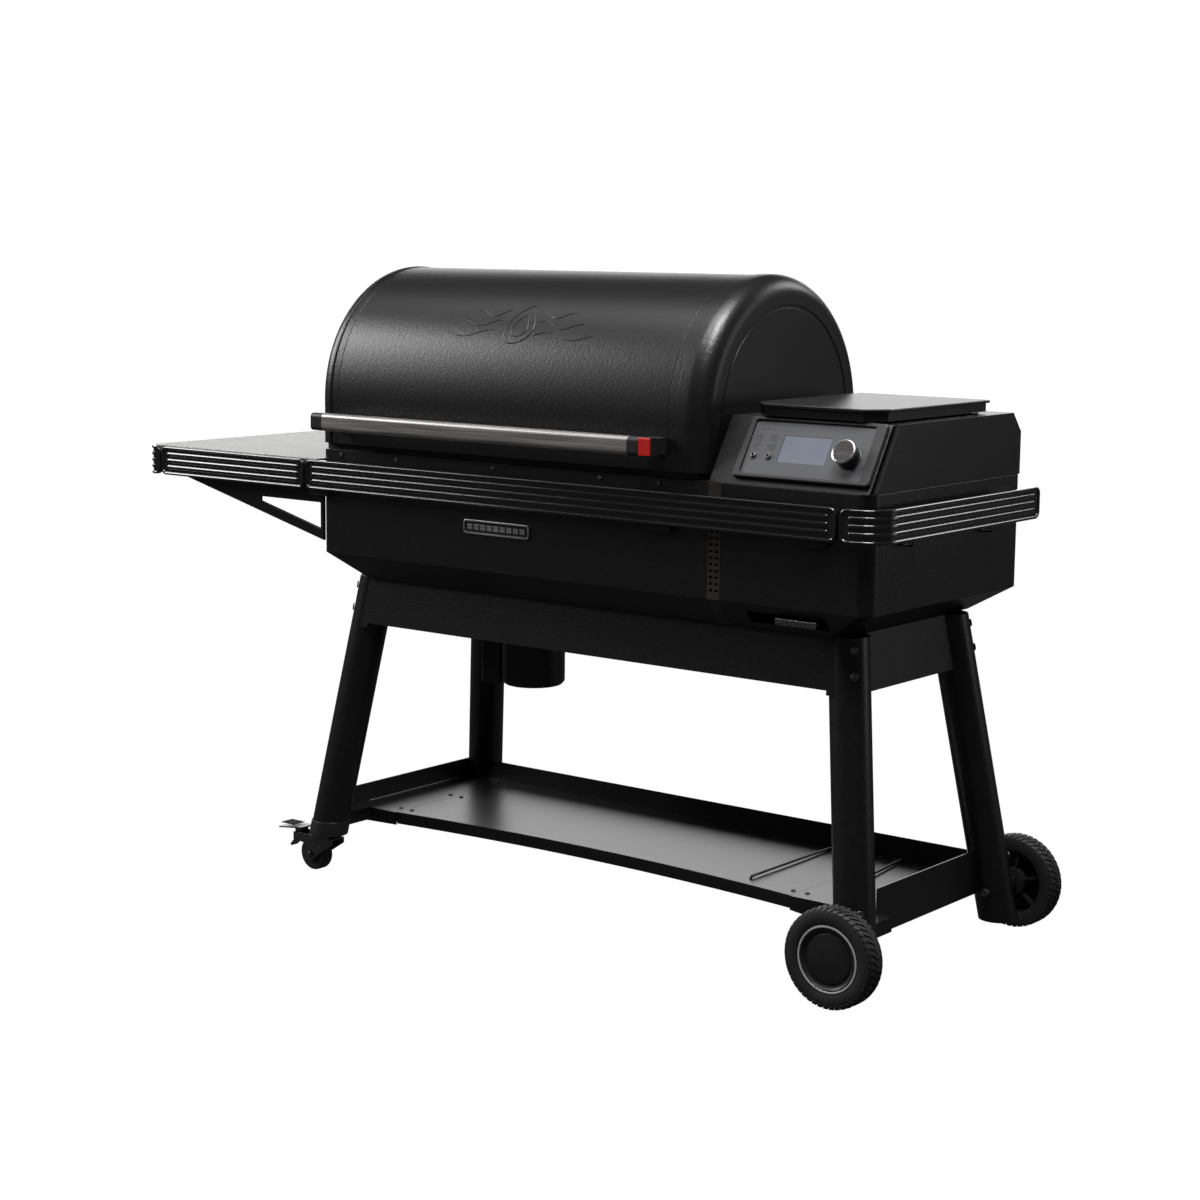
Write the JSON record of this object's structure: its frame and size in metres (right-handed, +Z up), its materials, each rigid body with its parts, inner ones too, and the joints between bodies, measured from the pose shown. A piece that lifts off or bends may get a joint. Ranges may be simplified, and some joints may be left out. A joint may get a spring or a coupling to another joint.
{
  "type": "pellet smoker grill",
  "caption": "Barrel-lid pellet smoker on splayed tube legs, with side shelf, lower shelf, pellet hopper, dial controller, ash keg, transport wheels and locking casters.",
  "frame": {"origin": "on the floor below the middle of the whole grill's bounding box", "axes": "+X towards the hopper and big wheels, -Y the front with the handle, +Z up"},
  "size_m": [1.8396, 0.681, 1.219],
  "materials": {
    "black_coat": "textured semi-gloss powder coat",
    "bronze_coat": "dark bronze powder coat",
    "gasket": "woven high-temperature gasket",
    "handle_metal": "warm grey brushed",
    "black_plastic": "fine grained",
    "red_plastic": "smooth",
    "raw_steel": "plain sheet",
    "grate_enamel": "porcelain enamel",
    "control_glass": "dark grey overlay",
    "lcd": "blue-grey display",
    "zinc": "zinc plated",
    "knob_metal": "spun face",
    "shelf_steel": "satin light grey",
    "gloss_black": "gloss black",
    "badge_metal": "satin plate",
    "caster_tyre": "hard rubber",
    "road_tyre": "moulded tread"
  },
  "bodies": {
    "stand": {"chamber_shell": "black_coat", "hopper_base": "black_coat", "vent_strip": "bronze_coat", "lid_gasket": "gasket", "hinge_brackets": "zinc", "hopper_housing": "black_coat", "hopper_bin": "raw_steel", "hopper_guard": "raw_steel", "control_bezel": "black_plastic", "control_panel": "control_glass", "lcd_screen": "lcd", "probe_jacks": "zinc", "side_shelf": "shelf_steel", "shelf_brackets": "black_coat", "rail_front": "gloss_black", "rail_shelf_front": "gloss_black", "rail_shelf_side": "gloss_black", "rail_right": "gloss_black", "rail_brackets": "black_coat", "badge_plate": "badge_metal", "skirt_frame": "black_coat", "leg_front_left": "black_coat", "leg_front_right": "black_coat", "leg_rear_left": "black_coat", "leg_rear_right": "black_coat", "leg_bolts": "zinc", "leg_collars": "black_plastic", "wheel_axles": "zinc", "lower_shelf": "black_coat", "shelf_ends": "black_coat", "keg_bracket": "black_coat", "firepot": "raw_steel", "heat_baffle": "raw_steel", "drip_tray": "raw_steel", "main_grate": "grate_enamel", "upper_grate": "grate_enamel", "auger_drive": "raw_steel", "exhaust_duct": "black_coat", "power_inlet": "black_plastic"},
    "lid": {"lid_shell": "black_coat", "lid_ends": "black_coat", "lid_hinges": "black_coat", "handle_bar": "handle_metal", "handle_mounts": "black_plastic", "handle_cap": "red_plastic", "probe_port": "black_plastic"},
    "hopper_cover": {"hopper_lid": "black_coat"},
    "dial": {"knob": "knob_metal"},
    "cleanout": {"cleanout_lever": "zinc"},
    "keg": {"ash_keg": "black_coat"},
    "auger": {"auger_screw": "raw_steel"},
    "fan": {"fan_impeller": "zinc"},
    "wheel_front": {"road_wheel_front": "road_tyre"},
    "wheel_rear": {"road_wheel_rear": "road_tyre"},
    "fork_front": {"caster_fork_front": "zinc"},
    "fork_rear": {"caster_fork_rear": "zinc"},
    "roller_front": {"caster_wheel_front": "caster_tyre"},
    "roller_rear": {"caster_wheel_rear": "caster_tyre"},
    "brake_front": {"caster_brake_front": "zinc"},
    "brake_rear": {"caster_brake_rear": "zinc"}
  },
  "joints": [
    {"name": "lid_hinge", "type": "hinge", "parent": "stand", "child": "lid", "pos_m": [-0.0098, 0.266, 0.876], "axis": [-1, 0, 0], "range_deg": [0, 85]},
    {"name": "hopper_lid_hinge", "type": "hinge", "parent": "stand", "child": "hopper_cover", "pos_m": [0.6902, 0.179, 0.983], "axis": [-1, 0, 0], "range_deg": [0, 100]},
    {"name": "knob_turn", "type": "hinge", "parent": "stand", "child": "dial", "pos_m": [0.7782, -0.21605, 0.9178], "axis": [0, -0.8501, 0.5266], "continuous": true},
    {"name": "cleanout_slide", "type": "slide", "parent": "stand", "child": "cleanout", "axis": [-1, 0, 0], "range_m": [0, 0.058]},
    {"name": "keg_lift_off", "type": "slide", "parent": "stand", "child": "keg", "axis": [0, 0, -1], "range_m": [0, 0.12]},
    {"name": "auger_turn", "type": "hinge", "parent": "stand", "child": "auger", "pos_m": [0.3902, 0, 0.69], "axis": [1, 0, 0], "continuous": true},
    {"name": "fan_turn", "type": "hinge", "parent": "stand", "child": "fan", "pos_m": [0.2902, 0.06, 0.646], "axis": [0, 0, 1], "continuous": true},
    {"name": "wheel_roll_front", "type": "hinge", "parent": "stand", "child": "wheel_front", "pos_m": [0.8318, -0.319, 0.088], "axis": [0, 1, 0], "continuous": true},
    {"name": "wheel_roll_rear", "type": "hinge", "parent": "stand", "child": "wheel_rear", "pos_m": [0.8318, 0.319, 0.088], "axis": [0, 1, 0], "continuous": true},
    {"name": "caster_swivel_front", "type": "hinge", "parent": "stand", "child": "fork_front", "pos_m": [-0.42662, -0.24126, 0.08], "axis": [0, 0, 1], "continuous": true},
    {"name": "caster_roll_front", "type": "hinge", "parent": "fork_front", "child": "roller_front", "pos_m": [-0.46262, -0.24126, 0.034], "axis": [0, 1, 0], "continuous": true},
    {"name": "brake_pedal_front", "type": "hinge", "parent": "fork_front", "child": "brake_front", "pos_m": [-0.50462, -0.24126, 0.064], "axis": [0, -1, 0], "range_deg": [0, 8]},
    {"name": "caster_swivel_rear", "type": "hinge", "parent": "stand", "child": "fork_rear", "pos_m": [-0.42662, 0.24126, 0.08], "axis": [0, 0, 1], "continuous": true},
    {"name": "caster_roll_rear", "type": "hinge", "parent": "fork_rear", "child": "roller_rear", "pos_m": [-0.46262, 0.24126, 0.034], "axis": [0, 1, 0], "continuous": true},
    {"name": "brake_pedal_rear", "type": "hinge", "parent": "fork_rear", "child": "brake_rear", "pos_m": [-0.50462, 0.24126, 0.064], "axis": [0, -1, 0], "range_deg": [0, 8]}
  ]
}
